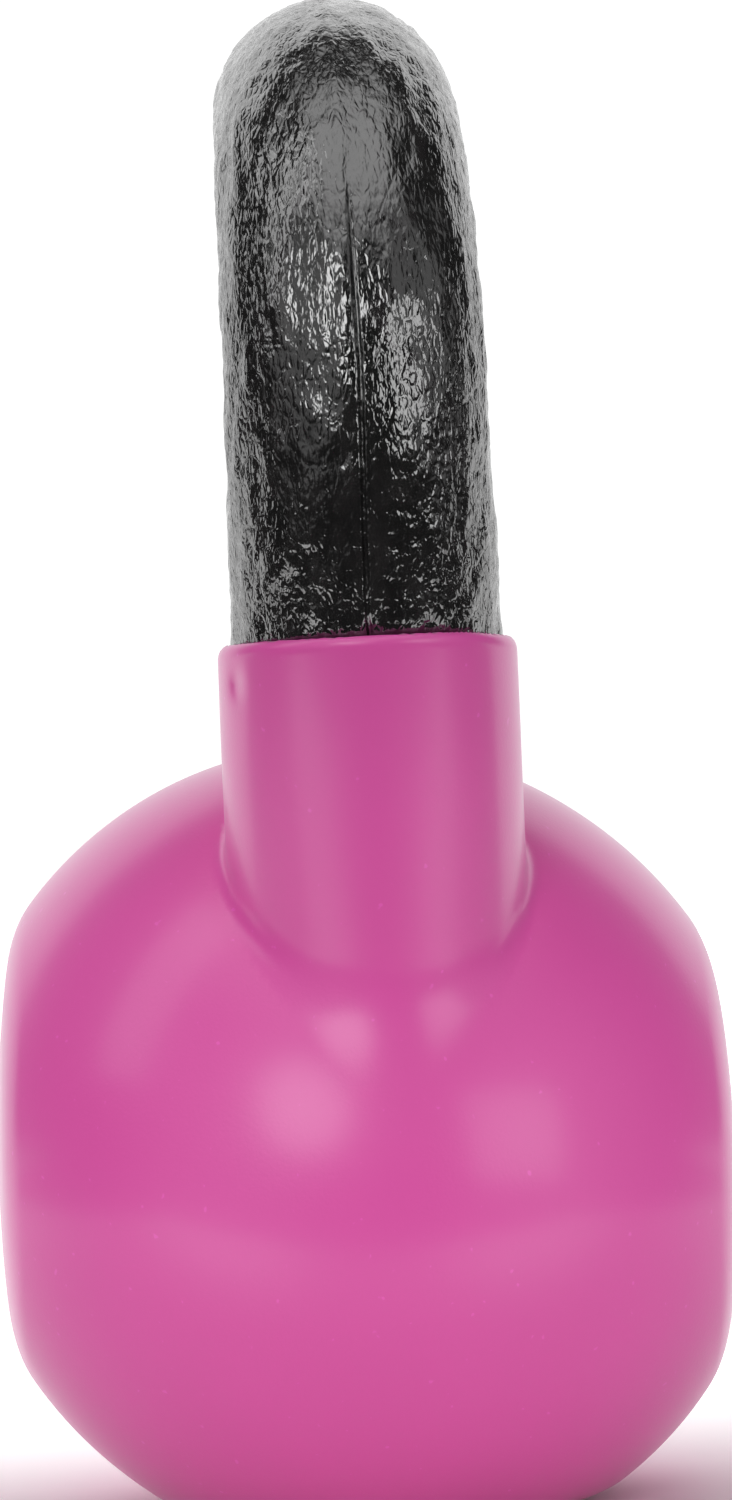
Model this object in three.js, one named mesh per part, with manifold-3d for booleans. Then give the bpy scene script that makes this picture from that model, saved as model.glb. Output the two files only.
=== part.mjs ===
// Kettlebell: one iron casting (ball, two horns and grip), black enamel on its bare handle,
// and a vinyl jacket dipped over the ball and up both horns.
// Millimetres, +Z up. The base stands on Z = 0 and the handle lies in the XZ plane.

import * as THREE from "three";
import { mergeVertices } from "three/addons/utils/BufferGeometryUtils.js";
import Module from "manifold-3d";

// ---- Driving dimensions -----------------------------------------------------------------

// Ball, measured over the vinyl
const ball_radius = 50.5;
const base_radius = 26; // the flat that the kettlebell stands on
const face_depth = 90; // front face to back face, at the middle of each
const face_dome_radius = 190; // both faces are slightly domed
const face_centre_height = 42.6;

// Handle, measured over the enamel
const hand_gap_height = 60.5; // top of the ball to the underside of the grip
const grip_radius = 14.8; // at the top of the handle
const root_radius = 15.6; // where a horn enters the ball
const horn_spread = 107; // centreline to centreline where the horns are widest apart
const widest_above_ball = 44; // how far over the top of the ball that is
const horn_lean = 24; // degrees that a horn leans outwards as it leaves the ball
const horn_straightness = 45.5; // length over which it keeps that lean
const horn_upper_pull = 22; // length over which it turns upright below its widest place
const grip_squareness = 0.61; // 0.552 makes the arch over the horns an ellipse, 1 squares it
const root_inset = 27; // how far inside the ball's widest circle the centreline starts
const root_below_top = 33; // and how far below the top of the ball

// Jacket and enamel
const jacket_wall = 2;
const collar_height = 10.3; // the dip line above the top of the ball
const collar_proud = 2.4; // how far a collar stands out from the enamelled horn
const enamel_wall = 0.4;
const fit_gap = 0.3; // clearance between neighbouring pieces

// Facets
const ball_facets = 40;
const ball_bands = 20;
const face_arc_steps = 6;
const tube_sides = 24;
const tube_steps = 40;
const weld_distance = 1e-4; // corners closer than this are one corner

// ---- Sizes that follow ------------------------------------------------------------------

const ball_centre_height = Math.sqrt(ball_radius ** 2 - base_radius ** 2);
const ball_top = ball_centre_height + ball_radius;
const rim_height = ball_top + collar_height;
const grip_centre_height = ball_top + hand_gap_height + grip_radius;
const widest_height = ball_top + widest_above_ball;
const handle_half = horn_spread / 2;
const reach = 2 * (grip_centre_height + ball_radius); // longer than the object on every side

const wasm = await Module();
wasm.setup();

// ---- Solids -----------------------------------------------------------------------------

// Turns a closed geometry into a solid that can be joined and cut.
function solidFrom(geometry) {
  geometry.deleteAttribute("normal");
  geometry.deleteAttribute("uv");
  const merged = mergeVertices(geometry, weld_distance);
  return new wasm.Manifold(
    new wasm.Mesh({
      numProp: 3,
      vertProperties: new Float32Array(merged.attributes.position.array),
      triVerts: new Uint32Array(merged.index.array),
    }),
  );
}

// Turns a solid back into a mesh that carries the piece's name and finish.
function pieceFrom(solid, name, material) {
  const result = solid.getMesh();
  const geometry = new THREE.BufferGeometry();
  geometry.setAttribute("position", new THREE.BufferAttribute(result.vertProperties, 3));
  geometry.setIndex(new THREE.BufferAttribute(result.triVerts, 1));
  geometry.computeVertexNormals();
  const mesh = new THREE.Mesh(geometry, material);
  mesh.name = name;
  return mesh;
}

// Everything from one height upwards.
function spaceAbove(height) {
  const block = new THREE.BoxGeometry(reach, reach, reach);
  block.translate(0, 0, height + reach / 2);
  return solidFrom(block);
}

// A round lens whose two domed sides are the ball's front and back faces.
function faceLens(inset) {
  const dome = face_dome_radius - inset;
  const dome_centre = face_depth / 2 - face_dome_radius;
  const edge_angle = Math.asin((ball_radius + face_centre_height) / face_dome_radius);
  const front = [];
  for (let i = 0; i <= face_arc_steps; i++) {
    const angle = (edge_angle * i) / face_arc_steps;
    front.push(new THREE.Vector2(dome * Math.sin(angle), -dome_centre - dome * Math.cos(angle)));
  }
  const back = front.map((p) => new THREE.Vector2(p.x, -p.y)).reverse();
  const lens = new THREE.LatheGeometry([...front, ...back], ball_facets);
  lens.translate(0, 0, face_centre_height);
  return solidFrom(lens);
}

// The ball with its two domed faces and its flat base, shrunk all round by the inset.
function ballSolid(inset) {
  const sphere = new THREE.SphereGeometry(ball_radius - inset, ball_facets, ball_bands);
  sphere.rotateX(Math.PI / 2);
  sphere.translate(0, 0, ball_centre_height);
  return solidFrom(sphere).intersect(faceLens(inset)).intersect(spaceAbove(inset));
}

// The handle's centreline: up one horn, over the grip and down the other.
function handlePath() {
  const at = (x, z) => new THREE.Vector3(x, 0, z);
  const lean = THREE.MathUtils.degToRad(horn_lean);
  const root_x = ball_radius - root_inset;
  const root_z = ball_top - root_below_top;
  const lean_x = root_x + horn_straightness * Math.sin(lean);
  const lean_z = root_z + horn_straightness * Math.cos(lean);
  const arch_rise = grip_squareness * (grip_centre_height - widest_height);
  const arch_run = grip_squareness * handle_half;
  const path = new THREE.CurvePath();
  path.add(
    new THREE.CubicBezierCurve3(
      at(root_x, root_z),
      at(lean_x, lean_z),
      at(handle_half, widest_height - horn_upper_pull),
      at(handle_half, widest_height),
    ),
  );
  path.add(
    new THREE.CubicBezierCurve3(
      at(handle_half, widest_height),
      at(handle_half, widest_height + arch_rise),
      at(arch_run, grip_centre_height),
      at(0, grip_centre_height),
    ),
  );
  path.add(
    new THREE.CubicBezierCurve3(
      at(0, grip_centre_height),
      at(-arch_run, grip_centre_height),
      at(-handle_half, widest_height + arch_rise),
      at(-handle_half, widest_height),
    ),
  );
  path.add(
    new THREE.CubicBezierCurve3(
      at(-handle_half, widest_height),
      at(-handle_half, widest_height - horn_upper_pull),
      at(-lean_x, lean_z),
      at(-root_x, root_z),
    ),
  );
  return path;
}

// A round bar along the handle. Its radius grows from the grip to the roots, plus an offset.
function handleSolid(offset) {
  const path = handlePath();
  const section = new THREE.Shape();
  section.absarc(0, 0, grip_radius, 0, 2 * Math.PI);
  const bar = new THREE.ExtrudeGeometry(section, {
    steps: tube_steps,
    curveSegments: tube_sides / 2, // counted per half circle
    bevelEnabled: false,
    extrudePath: path,
  });
  const rings = path.getSpacedPoints(tube_steps);
  const corner = new THREE.Vector3();
  const corners = bar.attributes.position;
  for (let i = 0; i < corners.count; i++) {
    corner.fromBufferAttribute(corners, i);
    const gap_to = (ring) => Math.abs(ring.distanceTo(corner) - grip_radius);
    const index = rings.reduce((best, ring, k) => (gap_to(ring) < gap_to(rings[best]) ? k : best), 0);
    const from_top = Math.abs((2 * index) / tube_steps - 1);
    const radius = grip_radius + (root_radius - grip_radius) * from_top ** 2 + offset;
    corner.sub(rings[index]).multiplyScalar(radius / grip_radius).add(rings[index]);
    corners.setXYZ(i, corner.x, corner.y, corner.z);
  }
  return solidFrom(bar);
}

// ---- Pieces -----------------------------------------------------------------------------

// The iron under the jacket and the enamel.
const iron_inset = enamel_wall + fit_gap;

function ironCasting(material) {
  const solid = ballSolid(jacket_wall + fit_gap).add(handleSolid(-iron_inset));
  return pieceFrom(solid, "iron_casting", material);
}

// The jacket covers the ball and both horns up to the level line it was dipped to.
function vinylJacket(material) {
  const collars = handleSolid(collar_proud).subtract(spaceAbove(rim_height));
  const skin = ballSolid(0).add(collars);
  const hollow = ballSolid(jacket_wall).add(handleSolid(fit_gap - iron_inset));
  return pieceFrom(skin.subtract(hollow), "vinyl_jacket", material);
}

// The enamel covers the handle from one dip line to the other.
function handleEnamel(material) {
  const shell = handleSolid(0).subtract(handleSolid(-enamel_wall));
  return pieceFrom(shell.intersect(spaceAbove(rim_height + fit_gap)), "handle_enamel", material);
}

const iron = new THREE.MeshStandardMaterial({ color: 0x3a3634, roughness: 0.75, metalness: 0.7 });
const vinyl = new THREE.MeshStandardMaterial({ color: 0xcb4f97, roughness: 0.18, metalness: 0 });
const enamel = new THREE.MeshStandardMaterial({ color: 0x151313, roughness: 0.3, metalness: 0 });

const kettlebell = new THREE.Group();
kettlebell.name = "kettlebell";
kettlebell.add(ironCasting(iron), vinylJacket(vinyl), handleEnamel(enamel));

export default kettlebell;
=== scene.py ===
"""Vinyl-dipped kettlebell: the jacket, the enamelled handle, the iron's finish and a studio stage.

Metres, +Z up. The base stands on Z = 0 and the handle lies in the XZ plane, as in the frame.
"""

import math

import bmesh
import bpy
import numpy as np
from mathutils import Matrix, Vector


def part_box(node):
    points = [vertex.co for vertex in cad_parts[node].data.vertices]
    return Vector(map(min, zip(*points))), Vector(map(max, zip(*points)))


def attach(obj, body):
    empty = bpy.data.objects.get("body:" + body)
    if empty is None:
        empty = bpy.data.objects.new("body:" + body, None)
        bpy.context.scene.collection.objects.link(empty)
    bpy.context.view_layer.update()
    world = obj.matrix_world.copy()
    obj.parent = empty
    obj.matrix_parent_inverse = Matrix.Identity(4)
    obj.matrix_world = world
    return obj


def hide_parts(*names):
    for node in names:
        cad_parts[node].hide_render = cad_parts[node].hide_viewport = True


bl_info = {
    "name": "Kettlebell Maker",
    "version": (1, 0, 0),
    "blender": (4, 5, 0),
    "location": "3D View > Sidebar > Kettlebell",
    "description": "Builds the coats of a vinyl-dipped kettlebell round its packed frame",
    "category": "Object",
}

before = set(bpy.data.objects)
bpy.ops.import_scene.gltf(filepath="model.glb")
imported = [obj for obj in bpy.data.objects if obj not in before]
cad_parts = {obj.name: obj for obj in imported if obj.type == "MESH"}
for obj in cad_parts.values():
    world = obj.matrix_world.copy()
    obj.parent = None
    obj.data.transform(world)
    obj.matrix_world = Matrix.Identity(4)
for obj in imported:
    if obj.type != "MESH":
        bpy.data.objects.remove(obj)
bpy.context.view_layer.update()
JACKET_LOW, JACKET_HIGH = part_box("vinyl_jacket")
ENAMEL_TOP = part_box("handle_enamel")[1].z
BODY = "root"
MM = 0.001

# Spacing of the meshes.
JACKET_STEP = 1.0 * MM
CORE_STEP = 1.6 * MM
COAT_STEP = 0.46 * MM
COAT_SIDES = 200

# Small sizes that no user would change.
UNDER_HALF_WIDTH = 17.5 * MM  # from a horn's middle plane to the end of its extra vinyl
FLARE_HEIGHT = 40 * MM  # the flare reaches its set size this far below the rim
FLARE_LIMIT = 1.3  # and goes on growing down to this many times that drop
NICK_BELOW_RIM = 4.8 * MM
NICK_SIDE = -13.5 * MM
NICK_HALF_WIDTH = 0.7 * MM
NICK_HALF_HEIGHT = 1.7 * MM
HIDDEN_FILLET = 2 * MM  # inside the jacket and on the casting, where a horn meets the ball
CORE_UNDER_VINYL = 0.3 * MM
CORE_UNDER_ENAMEL = 0.75 * MM  # the coat's thickness and a clearance
COAT_THICKNESS = 0.55 * MM
COAT_BELOW_RIM = 6 * MM  # how far the coat goes on down inside a collar
RELIEF_BELOW_RIM = 1.5 * MM  # and where its cast relief begins to show
SEAM_WIDTH = 0.5 * MM
LIP_DEPTH = 9 * MM  # the jacket's mesh is finer this far below the rim


# ---- Sizes and finishes that a user would change ------------------------------------------


def length_property(name, description, default):
    """A size in metres, shown with the scene's length unit."""
    return bpy.props.FloatProperty(
        name=name, description=description, default=default, min=0.0, precision=5, unit="LENGTH"
    )


def share_property(name, description, default):
    """A number from 0 to 1."""
    return bpy.props.FloatProperty(
        name=name, description=description, default=default, min=0.0, max=1.0, subtype="FACTOR"
    )


def colour_property(name, description, default):
    """A linear colour."""
    return bpy.props.FloatVectorProperty(
        name=name, description=description, default=default, size=3, min=0.0, max=1.0, subtype="COLOR"
    )


class BallSizes(bpy.types.PropertyGroup):
    """The ball, measured over the vinyl."""

    radius: length_property("Radius", "Round part of the ball", 50.3 * MM)
    base_radius: length_property("Base radius", "Flat that the kettlebell stands on", 26.0 * MM)
    face_depth: length_property(
        "Face depth", "Front face to back face", JACKET_HIGH.y - JACKET_LOW.y
    )
    face_dome: length_property("Face dome", "Radius that both faces are domed to", 175.0 * MM)
    face_height: length_property("Face height", "Height of the middle of each face", 41.6 * MM)
    round_lean: share_property("Round lean", "Sideways lean of the round part, per height", 0.04)
    face_edge: length_property("Face edge", "Softness of the edge round a face", 1.6 * MM)
    base_edge: length_property("Base edge", "Softness of the edge round the base", 2.2 * MM)
    ripple: length_property("Ripple", "Height of the slow waves in the vinyl", 0.035 * MM)


class HandleSizes(bpy.types.PropertyGroup):
    """The handle, measured over the enamel."""

    top: length_property("Top", "Height of the top of the grip", ENAMEL_TOP)
    grip_radius: length_property("Grip radius", "At the top of the handle", 14.2 * MM)
    root_radius: length_property("Root radius", "Where a horn enters the ball", 15.6 * MM)
    half_spread: length_property("Half spread", "Centreline at its widest", 53.5 * MM)
    widest_height: length_property("Widest height", "Where the horns are widest apart", 137.8 * MM)
    horn_straightness: length_property("Straightness", "Length that keeps the lean", 45.5 * MM)
    horn_upper_pull: length_property("Upper pull", "Length that turns upright", 22.0 * MM)
    root_x: length_property("Root place", "Start of the centreline in the ball", 23.5 * MM)
    root_z: length_property("Root height", "Start of the centreline in the ball", 60.8 * MM)
    lean: bpy.props.FloatProperty(
        name="Lean", description="How far a horn leans out", default=math.radians(24), subtype="ANGLE"
    )
    squareness: share_property("Squareness", "0.55 makes the arch an ellipse", 0.61)
    set_over: length_property("Set over", "How far the handle sits to one side at the rim", 1.6 * MM)
    tilt: bpy.props.FloatProperty(
        name="Tilt",
        description="How far it tips back the other way",
        default=math.radians(0.9),
        subtype="ANGLE",
    )
    lump_height: length_property("Lump height", "Height of the cast lumps", 0.16 * MM)
    grain_height: length_property("Grain height", "Height of the finer cast grain", 0.07 * MM)
    seam_height: length_property("Seam height", "Step at the casting's parting line", 0.32 * MM)


class CollarSizes(bpy.types.PropertyGroup):
    """The jacket round the horns."""

    rim_height: length_property("Rim height", "Level line that the jacket ends at", JACKET_HIGH.z)
    proud: length_property("Proud", "How far the collar stands out from the horn", 2.3 * MM)
    wall: length_property("Wall", "Vinyl over the ball", 2.0 * MM)
    fit: length_property("Fit", "Clearance between vinyl and enamel", 0.1 * MM)
    lip: length_property("Lip", "Roundness of the rim", 2.0 * MM)
    rim_wave: length_property("Rim wave", "How uneven the rim is", 0.12 * MM)
    side_blend: length_property("Side blend", "Fillet on a horn's two sides", 1.7 * MM)
    under_blend: length_property("Under blend", "Fillet under and between the horns", 4.0 * MM)
    under_flare: length_property("Under flare", "Extra vinyl under a horn's root", 3.3 * MM)
    nick_depth: length_property("Nick depth", "Small dent under the rim of one collar", 0.4 * MM)


class Finish(bpy.types.PropertyGroup):
    """Colours and gloss."""

    vinyl: colour_property("Vinyl", "Colour of the jacket", (0.86, 0.105, 0.455))
    vinyl_roughness: share_property("Vinyl roughness", "Gloss of the jacket", 0.37)
    enamel: colour_property("Enamel", "Colour of the handle", (0.010, 0.009, 0.009))
    enamel_roughness: share_property("Enamel roughness", "Gloss of the handle", 0.10)
    iron: colour_property("Iron", "Colour of the bare casting", (0.085, 0.078, 0.073))
    floor: colour_property("Floor", "Colour of the floor", (0.8, 0.8, 0.79))


class Studio(bpy.types.PropertyGroup):
    """Camera and light."""

    distance: length_property("Distance", "Camera to the middle of the handle plane", 567.4 * MM)
    height: length_property("Height", "Camera above the floor", 81.3 * MM)
    azimuth: bpy.props.FloatProperty(
        name="Azimuth", description="Round the kettlebell", default=math.radians(88.75), subtype="ANGLE"
    )
    roll: bpy.props.FloatProperty(
        name="Roll", description="Tilt of the camera", default=math.radians(2.26), subtype="ANGLE"
    )
    aim_up: bpy.props.FloatProperty(
        name="Aim up", description="How far it looks up", default=math.radians(1.125), subtype="ANGLE"
    )
    aim_right: bpy.props.FloatProperty(
        name="Aim right", description="How far it looks right", default=math.radians(0.217), subtype="ANGLE"
    )
    lens: bpy.props.FloatProperty(name="Lens", description="Focal length", default=109.9, subtype="NONE")
    light: bpy.props.FloatProperty(name="Light", description="Strength of the lamps", default=1.0, min=0.0)


PROPERTY_GROUPS = {
    "kettlebell_ball": BallSizes,
    "kettlebell_handle": HandleSizes,
    "kettlebell_collar": CollarSizes,
    "kettlebell_finish": Finish,
    "kettlebell_studio": Studio,
}


# ---- Centreline of the handle -------------------------------------------------------------


def half_centreline(handle):
    """Bezier points (X, Z) of one horn and half the grip: root to widest, widest to top."""
    grip_z = handle.top - handle.grip_radius
    widest = (handle.half_spread, handle.widest_height)
    rise = handle.squareness * (grip_z - handle.widest_height)
    run = handle.squareness * handle.half_spread
    lean_x = handle.root_x + handle.horn_straightness * math.sin(handle.lean)
    lean_z = handle.root_z + handle.horn_straightness * math.cos(handle.lean)
    horn = [
        (handle.root_x, handle.root_z),
        (lean_x, lean_z),
        (handle.half_spread, handle.widest_height - handle.horn_upper_pull),
        widest,
    ]
    arch = [widest, (handle.half_spread, handle.widest_height + rise), (run, grip_z), (0.0, grip_z)]
    return horn, arch


def sideways(handle, z):
    """How far the cast handle's middle is from the ball's middle plane at a height."""
    return handle.set_over - math.tan(handle.tilt) * (z - JACKET_HIGH.z)


def bezier_line(points, steps):
    """Points along a cubic Bezier curve."""
    t = np.linspace(0.0, 1.0, steps + 1)[:, None]
    a, b, c, d = np.array(points)
    return (1 - t) ** 3 * a + 3 * (1 - t) ** 2 * t * b + 3 * (1 - t) * t**2 * c + t**3 * d


def centreline_with_radii(handle, steps=90):
    """The half centreline as points and the handle's radius at each of them."""
    horn, arch = half_centreline(handle)
    line = np.vstack([bezier_line(horn, steps), bezier_line(arch, steps)[1:]])
    along = np.concatenate([[0.0], np.cumsum(np.linalg.norm(np.diff(line, axis=0), axis=1))])
    from_top = 1 - along / along[-1]
    radii = handle.grip_radius + (handle.root_radius - handle.grip_radius) * from_top**2
    return line, radii


# ---- The jacket as a distance field -------------------------------------------------------


def smooth_max(a, b, blend):
    """The larger of two distances, rounded where they are nearly alike."""
    near = np.clip(blend - np.abs(a - b), 0.0, None)
    return np.maximum(a, b) + near**2 / (4 * blend)


def smooth_min(a, b, blend):
    return -smooth_max(-a, -b, blend)


def bump_at(x, centre, width):
    return np.exp(-(((x - centre) / width) ** 2))


class KettlebellField:
    """Signed distances to the ball and the handle, below zero inside. Takes arrays of X, Y, Z."""

    def __init__(self, ball, handle, collar, top):
        self.ball = ball
        self.handle = handle
        self.collar = collar
        self.centre = math.sqrt(ball.radius**2 - ball.base_radius**2)
        line, radii = centreline_with_radii(handle)
        spare = 12 * MM
        needed = line[:, 1] < top + spare
        self.line = line[needed]
        self.radii = radii[needed]

    def horn(self, x, y, z):
        """Distance to the handle's enamel."""
        ax, flat_z = np.broadcast_arrays(np.abs(x), z)
        flat = np.column_stack([ax.ravel(), flat_z.ravel()])
        away = np.empty(len(flat))
        radius = np.empty(len(flat))
        start, step = self.line[:-1], np.diff(self.line, axis=0)
        block = 20000  # points taken at once, to save memory
        for first in range(0, len(flat), block):
            part = flat[first : first + block]
            to = part[:, None] - start
            t = np.clip((to * step).sum(2) / (step**2).sum(1), 0, 1)
            gap = np.linalg.norm(to - t[..., None] * step, axis=2)
            best = gap.argmin(1)
            rows = np.arange(len(part))
            share = t[rows, best]
            away[first : first + block] = gap[rows, best]
            radius[first : first + block] = (1 - share) * self.radii[best] + share * self.radii[best + 1]
        side = y - sideways(self.handle, z)
        return np.hypot(away.reshape(ax.shape), side) - radius.reshape(ax.shape)

    def body(self, x, y, z, inset):
        """Distance to the ball, shrunk by the inset."""
        ball = self.ball
        leaned = y + ball.round_lean * (z - self.centre)
        sphere = np.sqrt(x**2 + leaned**2 + (z - self.centre) ** 2) - ball.radius
        reach = np.abs(y) - (ball.face_depth / 2 - ball.face_dome)
        face = np.sqrt(x**2 + reach**2 + (z - ball.face_height) ** 2) - ball.face_dome
        rounded = smooth_max(sphere, face, ball.face_edge)
        return smooth_max(rounded, -z, ball.base_edge) + inset


class JacketField(KettlebellField):
    """The dipped vinyl."""

    def ripple(self, x, y, z):
        """Slow unevenness of dipped vinyl, as waves in radians per metre."""
        wave = np.sin(170 * x + 60 * y + 1.1) * np.sin(130 * y - 90 * z + 0.4)
        wave = wave + np.sin(240 * z + 110 * x) * np.sin(210 * y + 2.0)
        return self.ball.ripple * wave / 2

    def under(self, y, z):
        """1 in a horn's middle plane, 0 at its sides."""
        side = np.abs(y - sideways(self.handle, z)) / UNDER_HALF_WIDTH
        return 1 - np.clip(side, 0, 1) ** 2

    def proud(self, y, z):
        """How far the vinyl stands out from the horn, more so towards the root."""
        drop = np.clip((self.collar.rim_height - z) / FLARE_HEIGHT, 0, FLARE_LIMIT)
        return self.collar.proud + self.collar.under_flare * self.under(y, z) * drop**2

    def nick(self, x, y, z):
        """A dent a few millimetres long under the rim, beside one horn."""
        place = self.collar.rim_height - NICK_BELOW_RIM
        out = np.where(x > 0, bump_at(y, NICK_SIDE, NICK_HALF_WIDTH), 0.0)
        return self.collar.nick_depth * out * bump_at(z, place, NICK_HALF_HEIGHT)

    def rim(self, x, y, z):
        """Distance above the dip line, which waves a little."""
        wave = np.sin(150 * y + 0.6 + 90 * x) + 0.5 * np.sin(330 * y - 140 * x)
        return z - self.collar.rim_height - self.collar.rim_wave * wave

    def __call__(self, x, y, z):
        horn = self.horn(x, y, z)
        collar = self.collar
        fillet = collar.side_blend + (collar.under_blend - collar.side_blend) * self.under(y, z)
        skin = smooth_min(self.body(x, y, z, 0), horn - self.proud(y, z), fillet)
        skin = skin + self.ripple(x, y, z) + self.nick(x, y, z)
        hollow_ball = self.body(x, y, z, collar.wall)
        hollow = smooth_min(hollow_ball, horn - collar.fit, HIDDEN_FILLET)
        shell = np.maximum(skin, -hollow)
        return smooth_max(shell, self.rim(x, y, z), collar.lip)


class CastingField(KettlebellField):
    """The iron under both coats."""

    def __call__(self, x, y, z):
        ball = self.body(x, y, z, self.collar.wall + CORE_UNDER_VINYL)
        return smooth_min(ball, self.horn(x, y, z) + CORE_UNDER_ENAMEL, HIDDEN_FILLET)


# ---- Meshes from a field ------------------------------------------------------------------


def surface_net(values, low, step):
    """Points and outward quads round the places where a grid of values is below zero."""
    cells = tuple(n - 1 for n in values.shape)
    total = np.zeros((3, *cells))
    count = np.zeros(cells)
    for axis in range(3):
        turned = np.moveaxis(values, axis, 0)
        here, there = turned[:-1], turned[1:]
        cross = (here < 0) != (there < 0)
        share = np.where(cross, here / np.where(cross, here - there, 1.0), 0.0)
        others = [a for a in range(3) if a != axis]
        for first in (0, 1):
            for second in (0, 1):
                window = (
                    slice(None),
                    slice(first, first + cells[others[0]]),
                    slice(second, second + cells[others[1]]),
                )
                hit = np.moveaxis(cross[window], 0, axis)
                count += hit
                total[axis] += np.moveaxis(share[window], 0, axis)
                total[others[0]] += hit * first
                total[others[1]] += hit * second
    used = count > 0
    numbers = np.full(cells, -1)
    numbers[used] = np.arange(used.sum())
    places = np.array(np.nonzero(used), float) + total[:, used] / count[used]
    points = np.array(low)[:, None] + step * places
    quads = []
    for axis in range(3):
        order = (axis, (axis + 1) % 3, (axis + 2) % 3)
        turned = values.transpose(order)
        ids = numbers.transpose(order)
        inside = turned[:-1, 1:-1, 1:-1] < 0
        beyond = turned[1:, 1:-1, 1:-1] < 0
        ring = [ids[:, :-1, :-1], ids[:, 1:, :-1], ids[:, 1:, 1:], ids[:, :-1, 1:]]
        out = inside & ~beyond
        back = ~inside & beyond
        quads.append(np.column_stack([r[out] for r in ring]))
        quads.append(np.column_stack([r[back] for r in reversed(ring)]))
    return points.T, np.vstack(quads)


def field_normals(field, points, reach=0.02 * MM):
    """The field's gradient at each point."""
    slopes = []
    for axis in range(3):
        shift = np.zeros(3)
        shift[axis] = reach
        slopes.append(field(*(points + shift).T) - field(*(points - shift).T))
    return np.column_stack(slopes) / (2 * reach)


def settle(field, points, rounds=3):
    """Moves the points onto the field's surface."""
    for _ in range(rounds):
        slope = field_normals(field, points)
        least = 0.05
        size = np.maximum((slope**2).sum(1), least)
        points = points - np.clip(field(*points.T) / size, -MM, MM)[:, None] * slope
    return points


def relax(points, quads, strength=0.5):
    """Evens out the spacing of the points."""
    ends = np.vstack([quads[:, [i, (i + 1) % 4]] for i in range(4)])
    one, two = ends.T
    number = np.bincount(one, minlength=len(points)) + np.bincount(two, minlength=len(points))
    totals = []
    for axis in range(3):
        from_two = np.bincount(one, points[two, axis], len(points))
        from_one = np.bincount(two, points[one, axis], len(points))
        totals.append(from_two + from_one)
    middle = np.column_stack(totals) / number[:, None]
    return points + strength * (middle - points)


def mesh_from_quads(name, points, quads):
    """A mesh of four-sided faces."""
    mesh = bpy.data.meshes.new(name)
    mesh.vertices.add(len(points))
    mesh.vertices.foreach_set("co", points.astype(np.float32).ravel())
    mesh.loops.add(quads.size)
    mesh.loops.foreach_set("vertex_index", quads.astype(np.int32).ravel())
    mesh.polygons.add(len(quads))
    mesh.polygons.foreach_set("loop_start", np.arange(0, quads.size, 4, dtype=np.int32))
    mesh.update(calc_edges=True)
    return mesh


def points_of(mesh):
    points = np.empty(len(mesh.vertices) * 3, np.float32)
    mesh.vertices.foreach_get("co", points)
    return points.reshape(-1, 3).astype(float)


def skin_of(field, low, high, step, rounds):
    """Even points and quads on a field's surface inside a box, which is grown a little."""
    margin = 2.5 * MM
    offset = 0.37 * step  # keeps the grid's planes off the flat base
    sides = [np.arange(a - margin - offset, b + margin + step, step) for a, b in zip(low, high)]
    grid = np.meshgrid(*sides, indexing="ij", sparse=True)
    points, quads = surface_net(field(*grid), [side[0] for side in sides], step)
    for _ in range(rounds):
        points = settle(field, relax(points, quads), rounds=2)
    return points, quads


def jacket_mesh(field, low, high, step):
    """The jacket's whole surface, finer at its two lips."""
    points, quads = skin_of(field, low, high, step, rounds=3)
    mesh = mesh_from_quads("vinyl_jacket_skin", points, quads)
    build = bmesh.new()
    build.from_mesh(mesh)
    fine_above = field.collar.rim_height - LIP_DEPTH
    near_lip = [e for e in build.edges if all(v.co.z > fine_above for v in e.verts)]
    bmesh.ops.subdivide_edges(build, edges=near_lip, cuts=1, use_grid_fill=True)
    build.to_mesh(mesh)
    build.free()
    points = settle(field, points_of(mesh))
    mesh.vertices.foreach_set("co", points.astype(np.float32).ravel())
    mesh.polygons.foreach_set("use_smooth", np.ones(len(mesh.polygons), bool))
    normals = field_normals(field, points)
    normals /= np.linalg.norm(normals, axis=1)[:, None]
    mesh.normals_split_custom_set_from_vertices(normals.tolist())
    return mesh


# ---- Node helpers -------------------------------------------------------------------------


class NodeBuilder:
    """Adds nodes to a tree and joins them up."""

    def __init__(self, tree):
        self.tree = tree

    def add(self, kind, settings=None, **inputs):
        """A node with its settings, and each input given as a value or another socket."""
        node = self.tree.nodes.new(kind)
        for name, value in (settings or {}).items():
            setattr(node, name, value)
        for name, value in inputs.items():
            self.set(node, name.replace("_", " "), value)
        return node

    def set(self, node, key, value):
        socket = node.inputs[key]
        if isinstance(value, bpy.types.NodeSocket):
            self.tree.links.new(value, socket)
        else:
            socket.default_value = value

    def math(self, operation, *values):
        node = self.tree.nodes.new("ShaderNodeMath")
        node.operation = operation
        for number, value in enumerate(values):
            self.set(node, number, value)
        return node.outputs[0]

    def ramp(self, value, low, high, to_low=0.0, to_high=1.0):
        """A clamped, eased change from one range to another."""
        node = self.tree.nodes.new("ShaderNodeMapRange")
        node.interpolation_type = "SMOOTHSTEP"
        for number, entry in enumerate((value, low, high, to_low, to_high)):
            self.set(node, number, entry)
        return node.outputs[0]

    def noise(self, place, scale, detail=2.0, roughness=0.5):
        node = self.tree.nodes.new("ShaderNodeTexNoise")
        self.set(node, "Vector", place)
        node.inputs["Scale"].default_value = scale
        node.inputs["Detail"].default_value = detail
        node.inputs["Roughness"].default_value = roughness
        return node.outputs[0]


def new_material(name):
    """A material with a builder and its shader."""
    material = bpy.data.materials.new(name)
    material.use_nodes = True
    shader = material.node_tree.nodes["Principled BSDF"]
    return material, NodeBuilder(material.node_tree), shader


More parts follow.
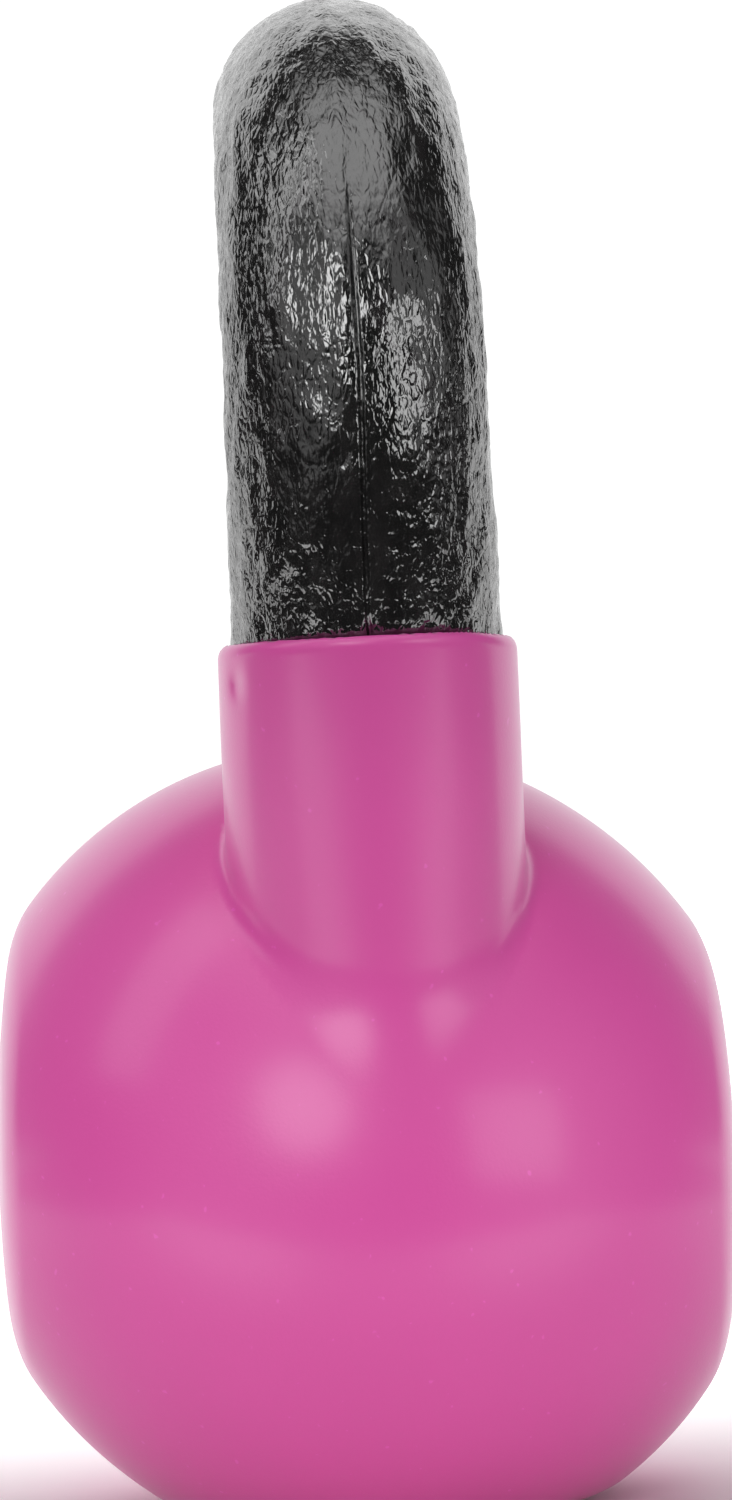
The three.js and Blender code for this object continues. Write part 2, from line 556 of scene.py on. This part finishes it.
def mix_colour(nodes, share, first, second):
    node = nodes.tree.nodes.new("ShaderNodeMix")
    node.data_type = "RGBA"
    nodes.set(node, 0, share)
    nodes.set(node, 6, first)  # 6 and 7 are the colours' sockets, and 2 is the mixed colour
    nodes.set(node, 7, second)
    return node.outputs[2]


def with_alpha(colour, brightness=1.0):
    return (*[min(1.0, c * brightness) for c in colour], 1.0)


# ---- Materials ----------------------------------------------------------------------------


def vinyl_material(finish):
    """Glossy dipped vinyl: orange peel, faint clouding of the colour and tiny specks."""
    material, nodes, shader = new_material("dipped_vinyl")
    place = nodes.add("ShaderNodeTexCoord").outputs["Object"]
    clouds = nodes.noise(place, scale=30, detail=1)
    colour = mix_colour(nodes, clouds, with_alpha(finish.vinyl, 0.93), with_alpha(finish.vinyl, 1.07))
    specks = nodes.ramp(nodes.noise(place, scale=900, detail=1), low=0.74, high=0.80, to_high=0.5)
    colour = mix_colour(nodes, specks, colour, with_alpha(finish.vinyl, 1.5))
    nodes.tree.links.new(colour, shader.inputs["Base Color"])
    peel = nodes.noise(place, scale=420, detail=2)
    fine = nodes.noise(place, scale=2600, detail=1)
    fine_share = 1.5
    height = nodes.math("MULTIPLY_ADD", fine, fine_share, peel)
    bump = nodes.add("ShaderNodeBump", Height=height)
    bump.inputs["Distance"].default_value = 0.012 * MM
    bump.inputs["Strength"].default_value = 1.0
    nodes.tree.links.new(bump.outputs[0], shader.inputs["Normal"])
    shader.inputs["Roughness"].default_value = finish.vinyl_roughness
    shader.inputs["IOR"].default_value = 1.5
    shader.inputs["Coat Weight"].default_value = 0.4
    shader.inputs["Coat Roughness"].default_value = 0.18
    shader.inputs["Sheen Weight"].default_value = 0.12
    shader.inputs["Sheen Roughness"].default_value = 0.4
    return material


def enamel_material(finish):
    """Gloss black enamel over cast iron: close cells, lumps, a groove at the seam and rare rust, with a
    painted highlight on the lumps' tops and painted shade between them.
    """
    material, nodes, shader = new_material("black_enamel")
    warp_reach = 0.7 * MM
    cell_share, lump_share, grit_share = 0.26, 1.8, 0.42
    wander_reach = 1.4 * MM
    groove_width = 0.28 * MM
    groove_depth = -2.4
    groove_fades_from, groove_fades_to = 140 * MM, 160 * MM
    rust_colour = (0.22, 0.09, 0.035, 1.0)
    place = nodes.add("ShaderNodeAttribute", {"attribute_name": "coat_place"}).outputs["Vector"]
    warp = nodes.add("ShaderNodeTexNoise", Vector=place, Scale=900.0, Detail=2.0)
    bend = nodes.add("ShaderNodeVectorMath", {"operation": "MULTIPLY_ADD"})
    nodes.set(bend, 0, warp.outputs["Color"])
    nodes.set(bend, 1, (warp_reach,) * 3)
    nodes.set(bend, 2, place)
    cells = nodes.add(
        "ShaderNodeTexVoronoi", {"feature": "DISTANCE_TO_EDGE"}, Vector=bend.outputs[0], Scale=1250.0
    )
    plateaus = nodes.ramp(cells.outputs["Distance"], low=0.0, high=0.3)
    lumps = nodes.noise(place, scale=420, detail=3, roughness=0.55)
    grit = nodes.noise(place, scale=1900, detail=2, roughness=0.6)
    height = nodes.math("MULTIPLY", plateaus, cell_share)
    height = nodes.math("MULTIPLY_ADD", lumps, lump_share, height)
    height = nodes.math("MULTIPLY_ADD", grit, grit_share, height)
    from_seam = nodes.add("ShaderNodeAttribute", {"attribute_name": "from_seam"}).outputs["Fac"]
    wander = nodes.noise(place, scale=160, detail=2)
    wandered = nodes.math("MULTIPLY_ADD", wander, wander_reach, from_seam)
    centred = nodes.math("SUBTRACT", wandered, wander_reach / 2)
    across = nodes.math("DIVIDE", centred, groove_width)
    squared = nodes.math("MULTIPLY", across, across)
    groove = nodes.math("EXPONENT", nodes.math("MULTIPLY", squared, -1.0))
    spot = nodes.add("ShaderNodeSeparateXYZ")
    nodes.set(spot, 0, nodes.add("ShaderNodeTexCoord").outputs["Object"])
    depth = nodes.ramp(spot.outputs[2], groove_fades_from, groove_fades_to, to_low=groove_depth, to_high=0.0)
    height = nodes.math("MULTIPLY_ADD", groove, depth, height)
    bump = nodes.add("ShaderNodeBump", Height=height)
    bump.inputs["Distance"].default_value = 0.17 * MM
    bump.inputs["Strength"].default_value = 1.0
    nodes.tree.links.new(bump.outputs[0], shader.inputs["Normal"])
    # Painted highlight and shade: the enamel is coloured lighter on the tops of the lumps and darker between
    # them.
    painted_lump_light_and_shade = nodes.ramp(lumps, low=0.35, high=0.7)
    tint = mix_colour(nodes, painted_lump_light_and_shade, with_alpha(finish.enamel, 0.5), with_alpha(finish.enamel, 1.6))
    rust = nodes.noise(place, scale=95, detail=2)
    rusty = nodes.ramp(rust, low=0.79, high=0.82, to_high=0.8)
    tint = mix_colour(nodes, rusty, tint, rust_colour)
    nodes.tree.links.new(tint, shader.inputs["Base Color"])
    smoothest, roughest = finish.enamel_roughness * 0.8, finish.enamel_roughness * 1.6
    rough = nodes.ramp(grit, low=0.35, high=0.65, to_low=smoothest, to_high=roughest)
    nodes.tree.links.new(rough, shader.inputs["Roughness"])
    shader.inputs["IOR"].default_value = 2.3
    return material


def iron_material(finish):
    """Bare sand-cast iron."""
    material, nodes, shader = new_material("cast_iron")
    place = nodes.add("ShaderNodeTexCoord").outputs["Object"]
    sand = nodes.noise(place, scale=900, detail=5, roughness=0.65)
    stain = nodes.noise(place, scale=40, detail=3)
    stain_colour = (0.12, 0.075, 0.05, 1.0)
    stained = nodes.ramp(stain, low=0.4, high=0.65)
    colour = mix_colour(nodes, stained, with_alpha(finish.iron), stain_colour)
    nodes.tree.links.new(colour, shader.inputs["Base Color"])
    rough = nodes.ramp(sand, low=0.3, high=0.7, to_low=0.55, to_high=0.85)
    nodes.tree.links.new(rough, shader.inputs["Roughness"])
    bump = nodes.add("ShaderNodeBump", Height=sand)
    bump.inputs["Distance"].default_value = 0.2 * MM
    nodes.tree.links.new(bump.outputs[0], shader.inputs["Normal"])
    shader.inputs["Metallic"].default_value = 0.8
    return material


# ---- The handle's node tree ---------------------------------------------------------------


def handle_tree(material):
    """Geometry nodes that sweep a cast, lumpy coat along the centreline."""
    tree = bpy.data.node_groups.new("EnamelledHandle", "GeometryNodeTree")
    face = tree.interface
    face.new_socket("Geometry", in_out="OUTPUT", socket_type="NodeSocketGeometry")
    face.new_socket("Centreline", in_out="INPUT", socket_type="NodeSocketGeometry")
    wanted = [
        "Grip Radius",
        "Root Radius",
        "Coat Thickness",
        "Step",
        "Lump Height",
        "Grain Height",
        "Seam Height",
        "Seam Width",
        "Hidden Below",
        "Seam At Zero Height",
        "Seam Tilt",
    ]
    for name in wanted:
        face.new_socket(name, in_out="INPUT", socket_type="NodeSocketFloat")
    face.new_socket("Sides", in_out="INPUT", socket_type="NodeSocketInt")
    nodes = NodeBuilder(tree)
    given = tree.nodes.new("NodeGroupInput").outputs
    factor = nodes.add("GeometryNodeSplineParameter").outputs["Factor"]
    rooted = nodes.math("ABSOLUTE", nodes.math("MULTIPLY_ADD", factor, 2.0, -1.0))
    growth = nodes.math("SUBTRACT", given["Root Radius"], given["Grip Radius"])
    radius = nodes.math(
        "MULTIPLY_ADD", growth, nodes.math("MULTIPLY", rooted, rooted), given["Grip Radius"]
    )
    inner_radius = nodes.math("SUBTRACT", radius, given["Coat Thickness"])
    ring = nodes.add("GeometryNodeCurvePrimitiveCircle", Resolution=given["Sides"], Radius=1.0)
    around = nodes.add("GeometryNodeCaptureAttribute", {"domain": "POINT"})
    around.capture_items.new("VECTOR", "Around")
    nodes.set(around, 0, ring.outputs[0])
    nodes.set(around, "Around", nodes.add("GeometryNodeInputPosition").outputs[0])

    def swept(step, curve_radius):
        """A tube along the centreline, with the distance along it and the place round it."""
        fine = nodes.add("GeometryNodeResampleCurve", {"mode": "LENGTH"})
        nodes.set(fine, "Curve", given["Centreline"])
        nodes.set(fine, "Length", step)
        along = nodes.add("GeometryNodeCaptureAttribute", {"domain": "POINT"})
        along.capture_items.new("FLOAT", "Along")
        nodes.set(along, 0, fine.outputs[0])
        nodes.set(along, "Along", nodes.add("GeometryNodeSplineParameter").outputs["Length"])
        sized = nodes.add("GeometryNodeSetCurveRadius", Curve=along.outputs[0], Radius=curve_radius)
        tube = nodes.add(
            "GeometryNodeCurveToMesh", Curve=sized.outputs[0], Profile_Curve=around.outputs[0]
        )
        if "Scale" in tube.inputs:
            nodes.set(tube, "Scale", nodes.add("GeometryNodeInputRadius").outputs[0])
        return tube.outputs[0], along.outputs["Along"]

    ends = nodes.add("GeometryNodeCurveEndpointSelection").outputs[0]
    pulled_in = nodes.add("GeometryNodeSwitch", {"input_type": "FLOAT"}, Switch=ends)
    nodes.set(pulled_in, "False", radius)
    nodes.set(pulled_in, "True", inner_radius)
    outer, along = swept(given["Step"], pulled_in.outputs[0])
    lining_steps = 14.0  # the lining is out of sight, so its rings are far apart
    inner, _ = swept(nodes.math("MULTIPLY", given["Step"], lining_steps), inner_radius)

    # The place on the coat in metres: round it in X and Y, and along it in Z, where the
    # pattern is drawn out a little.
    spread = nodes.add("ShaderNodeSeparateXYZ")
    nodes.set(spread, 0, around.outputs["Around"])
    place = nodes.add("ShaderNodeCombineXYZ")
    nodes.set(place, 0, nodes.math("MULTIPLY", spread.outputs[0], given["Grip Radius"]))
    nodes.set(place, 1, nodes.math("MULTIPLY", spread.outputs[1], given["Grip Radius"]))
    drawn_out = 0.6
    nodes.set(place, 2, nodes.math("MULTIPLY", along, drawn_out))
    kept = nodes.add("GeometryNodeStoreNamedAttribute", {"data_type": "FLOAT_VECTOR", "domain": "POINT"})
    nodes.set(kept, "Geometry", outer)
    nodes.set(kept, "Name", "coat_place")
    nodes.set(kept, "Value", place.outputs[0])

    # Cast lumps, grain and the step at the parting line, fading out inside the collars.
    at = nodes.add("ShaderNodeSeparateXYZ")
    nodes.set(at, 0, nodes.add("GeometryNodeInputPosition").outputs[0])
    fully_shown = nodes.math("ADD", given["Hidden Below"], 2.0 * MM)
    shown = nodes.ramp(at.outputs[2], low=given["Hidden Below"], high=fully_shown)
    lumps = nodes.noise(place.outputs[0], scale=260, detail=2, roughness=0.5)
    lumps = nodes.ramp(lumps, low=0.3, high=0.7, to_low=-1.0, to_high=1.0)
    grain = nodes.noise(place.outputs[0], scale=620, detail=2, roughness=0.6)
    grain = nodes.ramp(grain, low=0.3, high=0.7, to_low=-1.0, to_high=1.0)
    seam_line = nodes.math("MULTIPLY_ADD", at.outputs[2], given["Seam Tilt"], given["Seam At Zero Height"])
    seam_at = nodes.math("SUBTRACT", at.outputs[1], seam_line)
    from_seam = nodes.math("DIVIDE", seam_at, given["Seam Width"])
    ledge = nodes.math("MULTIPLY", nodes.math("TANH", nodes.math("MULTIPLY", from_seam, -1.0)), 0.5)
    squared = nodes.math("MULTIPLY", from_seam, from_seam)
    fading = nodes.math("EXPONENT", nodes.math("MULTIPLY", squared, -0.04))
    seam = nodes.math("MULTIPLY", ledge, fading)
    lined = nodes.add("GeometryNodeStoreNamedAttribute", {"data_type": "FLOAT", "domain": "POINT"})
    nodes.set(lined, "Geometry", kept.outputs[0])
    nodes.set(lined, "Name", "from_seam")
    nodes.set(lined, "Value", seam_at)
    height = nodes.math("MULTIPLY", lumps, given["Lump Height"])
    height = nodes.math("MULTIPLY_ADD", grain, given["Grain Height"], height)
    height = nodes.math("MULTIPLY_ADD", seam, given["Seam Height"], height)
    height = nodes.math("MULTIPLY", height, shown)
    push = nodes.add("ShaderNodeVectorMath", {"operation": "SCALE"})
    nodes.set(push, 0, nodes.add("GeometryNodeInputNormal").outputs[0])
    nodes.set(push, "Scale", height)
    moved = nodes.add("GeometryNodeSetPosition", Geometry=lined.outputs[0], Offset=push.outputs[0])

    lining = nodes.add("GeometryNodeFlipFaces", Mesh=inner)
    both = nodes.add("GeometryNodeJoinGeometry")
    tree.links.new(moved.outputs[0], both.inputs[0])
    tree.links.new(lining.outputs[0], both.inputs[0])
    welded = nodes.add("GeometryNodeMergeByDistance", Geometry=both.outputs[0], Distance=0.02 * MM)
    smooth = nodes.add("GeometryNodeSetShadeSmooth", Geometry=welded.outputs[0])
    real = nodes.add("GeometryNodeRealizeInstances", Geometry=smooth.outputs[0])
    painted = nodes.add("GeometryNodeSetMaterial", Geometry=real.outputs[0], Material=material)
    out = tree.nodes.new("NodeGroupOutput")
    tree.links.new(painted.outputs[0], out.inputs[0])
    return tree


def centreline_curve(handle, start_height):
    """The handle's centreline as a Bezier curve object, cut off at a height inside each collar."""
    horn, arch = half_centreline(handle)
    t = start_of(horn, start_height)
    horn = upper_part(horn, t)
    right = [horn[0], horn[1], horn[2], horn[3], arch[1], arch[2], arch[3]]
    left = [(-x, z) for x, z in reversed(right[:-1])]
    row = right + left
    curve = bpy.data.curves.new("handle_centreline", "CURVE")
    curve.dimensions = "3D"
    curve.twist_mode = "MINIMUM"
    spline = curve.splines.new("BEZIER")
    anchors = row[::3]
    spline.bezier_points.add(len(anchors) - 1)
    for number, (anchor, point) in enumerate(zip(anchors, spline.bezier_points)):
        before = row[3 * number - 1] if number else anchor
        after = row[3 * number + 1] if number < len(anchors) - 1 else anchor
        point.handle_left_type = point.handle_right_type = "FREE"
        point.co = (anchor[0], sideways(handle, anchor[1]), anchor[1])
        point.handle_left = (before[0], sideways(handle, before[1]), before[1])
        point.handle_right = (after[0], sideways(handle, after[1]), after[1])
    spline.resolution_u = 64
    return bpy.data.objects.new("handle_enamel_coat", curve)


def start_of(points, height):
    """Where along a Bezier horn it reaches a height."""
    t = np.linspace(0.0, 1.0, 401)
    line = bezier_line(points, 400)
    return float(np.interp(height, line[:, 1], t))


def upper_part(points, t):
    """The Bezier points of a curve's part after t."""
    a, b, c, d = [np.array(p) for p in points]
    ab, bc, cd = a + (b - a) * t, b + (c - b) * t, c + (d - c) * t
    abc, bcd = ab + (bc - ab) * t, bc + (cd - bc) * t
    middle = abc + (bcd - abc) * t
    return [tuple(middle), tuple(bcd), tuple(cd), tuple(d)]


def set_inputs(modifier, values):
    """Sets a node modifier's inputs by name, through their identifiers."""
    for item in modifier.node_group.interface.items_tree:
        if item.item_type == "SOCKET" and item.in_out == "INPUT" and item.name in values:
            modifier[item.identifier] = values[item.name]


def baked(source, name):
    """The evaluated object as a plain mesh object, with the source taken away."""
    graph = bpy.context.evaluated_depsgraph_get()
    mesh = bpy.data.meshes.new_from_object(source.evaluated_get(graph))
    bpy.data.objects.remove(source)
    mesh.name = name
    piece = bpy.data.objects.new(name, mesh)
    bpy.context.scene.collection.objects.link(piece)
    return piece


# ---- Operators ----------------------------------------------------------------------------


class KETTLEBELL_OT_vinyl_jacket(bpy.types.Operator):
    """Make the dipped vinyl jacket over the ball and both horns"""

    bl_idname = "kettlebell.vinyl_jacket"
    bl_label = "Vinyl Jacket"

    def execute(self, context):
        scene = context.scene
        collar = scene.kettlebell_collar
        field = JacketField(scene.kettlebell_ball, scene.kettlebell_handle, collar, collar.rim_height)
        mesh = jacket_mesh(field, JACKET_LOW, JACKET_HIGH, JACKET_STEP)
        jacket = bpy.data.objects.new("vinyl_jacket_skin", mesh)
        scene.collection.objects.link(jacket)
        mesh.materials.append(vinyl_material(scene.kettlebell_finish))
        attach(jacket, BODY)
        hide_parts("vinyl_jacket")
        return {"FINISHED"}


class KETTLEBELL_OT_enamelled_handle(bpy.types.Operator):
    """Sweep the lumpy enamelled coat along the handle"""

    bl_idname = "kettlebell.enamelled_handle"
    bl_label = "Enamelled Handle"

    def execute(self, context):
        scene = context.scene
        handle = scene.kettlebell_handle
        rim = scene.kettlebell_collar.rim_height
        line = centreline_curve(handle, rim - COAT_BELOW_RIM)
        scene.collection.objects.link(line)
        modifier = line.modifiers.new("coat", "NODES")
        modifier.node_group = handle_tree(enamel_material(scene.kettlebell_finish))
        set_inputs(
            modifier,
            {
                "Grip Radius": handle.grip_radius,
                "Root Radius": handle.root_radius,
                "Coat Thickness": COAT_THICKNESS,
                "Step": COAT_STEP,
                "Lump Height": handle.lump_height,
                "Grain Height": handle.grain_height,
                "Seam Height": handle.seam_height,
                "Seam Width": SEAM_WIDTH,
                "Hidden Below": rim - RELIEF_BELOW_RIM,
                "Seam At Zero Height": sideways(handle, 0.0),
                "Seam Tilt": -math.tan(handle.tilt),
                "Sides": COAT_SIDES,
            },
        )
        coat = baked(line, "handle_enamel_coat")
        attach(coat, BODY)
        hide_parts("handle_enamel")
        return {"FINISHED"}


class KETTLEBELL_OT_iron_casting(bpy.types.Operator):
    """Make the iron casting, ball and handle in one, that both coats cover"""

    bl_idname = "kettlebell.iron_casting"
    bl_label = "Iron Casting"

    def execute(self, context):
        scene = context.scene
        handle = scene.kettlebell_handle
        field = CastingField(scene.kettlebell_ball, handle, scene.kettlebell_collar, handle.top)
        low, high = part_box("iron_casting")
        points, quads = skin_of(field, low, high, CORE_STEP, rounds=2)
        mesh = mesh_from_quads("iron_casting_core", points, quads)
        mesh.polygons.foreach_set("use_smooth", np.ones(len(mesh.polygons), bool))
        core = bpy.data.objects.new("iron_casting_core", mesh)
        scene.collection.objects.link(core)
        mesh.materials.append(iron_material(scene.kettlebell_finish))
        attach(core, BODY)
        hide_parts("iron_casting")
        return {"FINISHED"}


class KETTLEBELL_OT_stage(bpy.types.Operator):
    """Set the floor, the lights and the camera"""

    bl_idname = "kettlebell.stage"
    bl_label = "Studio Stage"

    def execute(self, context):
        scene = context.scene
        make_floor(scene)
        make_lights(scene)
        make_world(scene)
        make_camera(scene)
        scene.view_settings.view_transform = "Standard"
        return {"FINISHED"}


# ---- Stage --------------------------------------------------------------------------------


def make_floor(scene):
    """A pale sheet, wide at the back, that ends just in front of the kettlebell.

    Its emission is painted light, in a glow behind and beside the kettlebell and in a pool at each side in
    front. It fades out under the ball and stays unlit just in front of it, with the pools weaker straight
    ahead, as painted shade where the ball shades the floor.
    """
    reach = 3.0
    front = 0.135
    widens_at = -0.15
    half_width = 0.16
    right = [
        (front, half_width, 0),
        (widens_at, half_width * 2, 0),
        (widens_at, reach, 0),
        (-reach, reach, 0),
    ]
    left = [(x, -y, z) for x, y, z in reversed(right)]
    outline = right + left
    mesh = bpy.data.meshes.new("floor")
    mesh.from_pydata(outline, [], [tuple(range(len(outline)))])
    floor = bpy.data.objects.new("floor", mesh)
    scene.collection.objects.link(floor)
    material, nodes, shader = new_material("pale_floor_painted_light")
    shader.inputs["Base Color"].default_value = with_alpha(scene.kettlebell_finish.floor)
    shader.inputs["Roughness"].default_value = 0.9
    shader.inputs["Specular IOR Level"].default_value = 0.0
    shader.inputs["Emission Color"].default_value = (1, 1, 1, 1)
    parts = nodes.add("ShaderNodeSeparateXYZ")
    nodes.set(parts, 0, nodes.add("ShaderNodeTexCoord").outputs["Object"])
    forward = parts.outputs[0]
    sideways_off = nodes.math("ABSOLUTE", parts.outputs[1])
    # Painted light on the floor: emission behind, beside and in two pools in front, left out near the ball
    # as painted shade.
    behind = nodes.ramp(forward, low=-0.10, high=0.02, to_low=0.75, to_high=0.0)
    in_front = nodes.ramp(forward, low=0.06, high=0.11)
    to_side = nodes.ramp(sideways_off, low=0.01, high=0.06, to_low=0.2, to_high=1.25)
    painted_light_pools = nodes.math("MULTIPLY", in_front, to_side)
    beside = nodes.ramp(sideways_off, low=0.09, high=0.24, to_low=0.0, to_high=0.7)
    around = nodes.math("MAXIMUM", behind, beside)
    nodes.tree.links.new(nodes.math("MAXIMUM", around, painted_light_pools), shader.inputs["Emission Strength"])
    mesh.materials.append(material)


def toward(azimuth, elevation):
    """A direction from its angles in degrees, both from the line to the camera."""
    turn, lift = math.radians(azimuth), math.radians(elevation)
    return Vector((math.cos(turn) * math.cos(lift), math.sin(turn) * math.cos(lift), math.sin(lift)))


def soft_lamp(scene, name, azimuth, elevation, width, height, radiance):
    """A rectangular soft light, placed by its angles from the line to the camera."""
    studio = scene.kettlebell_studio
    distance = 0.75
    aimed_at = Vector((0, 0, 0.09))
    data = bpy.data.lights.new(name, "AREA")
    data.shape = "RECTANGLE"
    data.size = 2 * distance * math.tan(math.radians(width) / 2)
    data.size_y = 2 * distance * math.tan(math.radians(height) / 2)
    data.energy = radiance * studio.light * math.pi * data.size * data.size_y
    lamp = bpy.data.objects.new(name, data)
    away = toward(azimuth, elevation)
    lamp.location = aimed_at + distance * away
    lamp.rotation_euler = away.to_track_quat("Z", "Y").to_euler()
    scene.collection.objects.link(lamp)


def make_lights(scene):
    """Two boxes, one high at the far left and one low at the right. Angles are in degrees."""
    soft_lamp(scene, "far_left_box", azimuth=-72, elevation=37, width=18, height=46, radiance=1.6)
    soft_lamp(scene, "right_box", azimuth=40, elevation=3, width=26, height=22, radiance=2.3)


def glow(nodes, facing, azimuth, elevation, full_angle, faded_angle, radiance):
    """A round soft light in the world."""
    near = nodes.add("ShaderNodeVectorMath", {"operation": "DOT_PRODUCT"})
    nodes.set(near, 0, facing)
    nodes.set(near, 1, toward(azimuth, elevation))
    edge, core = math.cos(math.radians(faded_angle)), math.cos(math.radians(full_angle))
    return nodes.ramp(near.outputs["Value"], edge, core, 0.0, radiance)


# Azimuth, elevation, full angle and faded angle in degrees, then radiance.
FRONT_GLOWS = (
    (-42, 8, 6, 34, 0.35),
    (-17, 15, 7, 17, 4.2),
    (62, 14, 6, 34, 0.35),
    (3, 70, 12, 48, 1.2),
)


def make_world(scene):
    """A white half behind the kettlebell and four soft glows on the camera's side, which is dark.

    The camera itself sees plain white wherever it looks past the floor.
    """
    white_level = 1.15
    dark_level = 0.03
    seen_level = 1.1
    world = bpy.data.worlds.new("studio")
    world.use_nodes = True
    scene.world = world
    nodes = NodeBuilder(world.node_tree)
    facing = nodes.add("ShaderNodeTexCoord").outputs["Generated"]
    parts = nodes.add("ShaderNodeSeparateXYZ")
    nodes.set(parts, 0, facing)
    behind = glow(nodes, facing, azimuth=182, elevation=0, full_angle=50, faded_angle=58, radiance=1.0)
    dimmer_above = nodes.ramp(parts.outputs[2], low=0.66, high=0.78, to_low=1.0, to_high=0.4)
    level = nodes.math("MULTIPLY_ADD", nodes.math("MULTIPLY", behind, dimmer_above), white_level, dark_level)
    for front_glow in FRONT_GLOWS:
        level = nodes.math("ADD", level, glow(nodes, facing, *front_glow))
    seen = nodes.add("ShaderNodeLightPath").outputs["Is Camera Ray"]
    strength = nodes.tree.nodes.new("ShaderNodeMix")
    nodes.set(strength, 0, seen)
    nodes.set(strength, 2, level)
    nodes.set(strength, 3, seen_level)
    background = world.node_tree.nodes["Background"]
    background.inputs[0].default_value = (1, 1, 1, 1)
    world.node_tree.links.new(strength.outputs[0], background.inputs[1])


def make_camera(scene):
    """A nearly level, slightly rolled camera that looks along the handle plane at one horn."""
    studio = scene.kettlebell_studio
    data = bpy.data.cameras.new("camera")
    data.sensor_fit = "AUTO"
    data.sensor_width = 36.0
    data.lens = studio.lens
    data.clip_start = 0.01
    camera = bpy.data.objects.new("camera", data)
    scene.collection.objects.link(camera)
    back = Vector((math.sin(studio.azimuth), -math.cos(studio.azimuth), 0))
    camera.location = back * studio.distance + Vector((0, 0, studio.height))
    turn = (-back).to_track_quat("-Z", "Y").to_matrix()
    turn = turn @ Matrix.Rotation(-studio.aim_right, 3, "Y")
    turn = turn @ Matrix.Rotation(studio.aim_up, 3, "X")
    turn = turn @ Matrix.Rotation(-studio.roll, 3, "Z")
    camera.rotation_euler = turn.to_euler()
    scene.camera = camera


# ---- Panel and registration ---------------------------------------------------------------

OPERATORS = (
    KETTLEBELL_OT_stage,
    KETTLEBELL_OT_iron_casting,
    KETTLEBELL_OT_vinyl_jacket,
    KETTLEBELL_OT_enamelled_handle,
)


class KETTLEBELL_PT_maker(bpy.types.Panel):
    """Sizes, finishes and the steps that build the kettlebell"""

    bl_label = "Kettlebell"
    bl_idname = "KETTLEBELL_PT_maker"
    bl_space_type = "VIEW_3D"
    bl_region_type = "UI"
    bl_category = "Kettlebell"

    def draw(self, context):
        for name, group in PROPERTY_GROUPS.items():
            box = self.layout.box()
            box.label(text=group.__doc__)
            for prop in group.__annotations__:
                box.prop(getattr(context.scene, name), prop)
        for operator in OPERATORS:
            self.layout.operator(operator.bl_idname)


CLASSES = (*PROPERTY_GROUPS.values(), *OPERATORS, KETTLEBELL_PT_maker)


def register():
    for cls in CLASSES:
        bpy.utils.register_class(cls)
    for name, group in PROPERTY_GROUPS.items():
        setattr(bpy.types.Scene, name, bpy.props.PointerProperty(type=group))


def unregister():
    for name in PROPERTY_GROUPS:
        delattr(bpy.types.Scene, name)
    for cls in reversed(CLASSES):
        bpy.utils.unregister_class(cls)


def main():
    """Builds everything in order."""
    register()
    bpy.ops.kettlebell.stage()
    bpy.ops.kettlebell.iron_casting()
    bpy.ops.kettlebell.vinyl_jacket()
    bpy.ops.kettlebell.enamelled_handle()


if __name__ == "__main__":
    main()
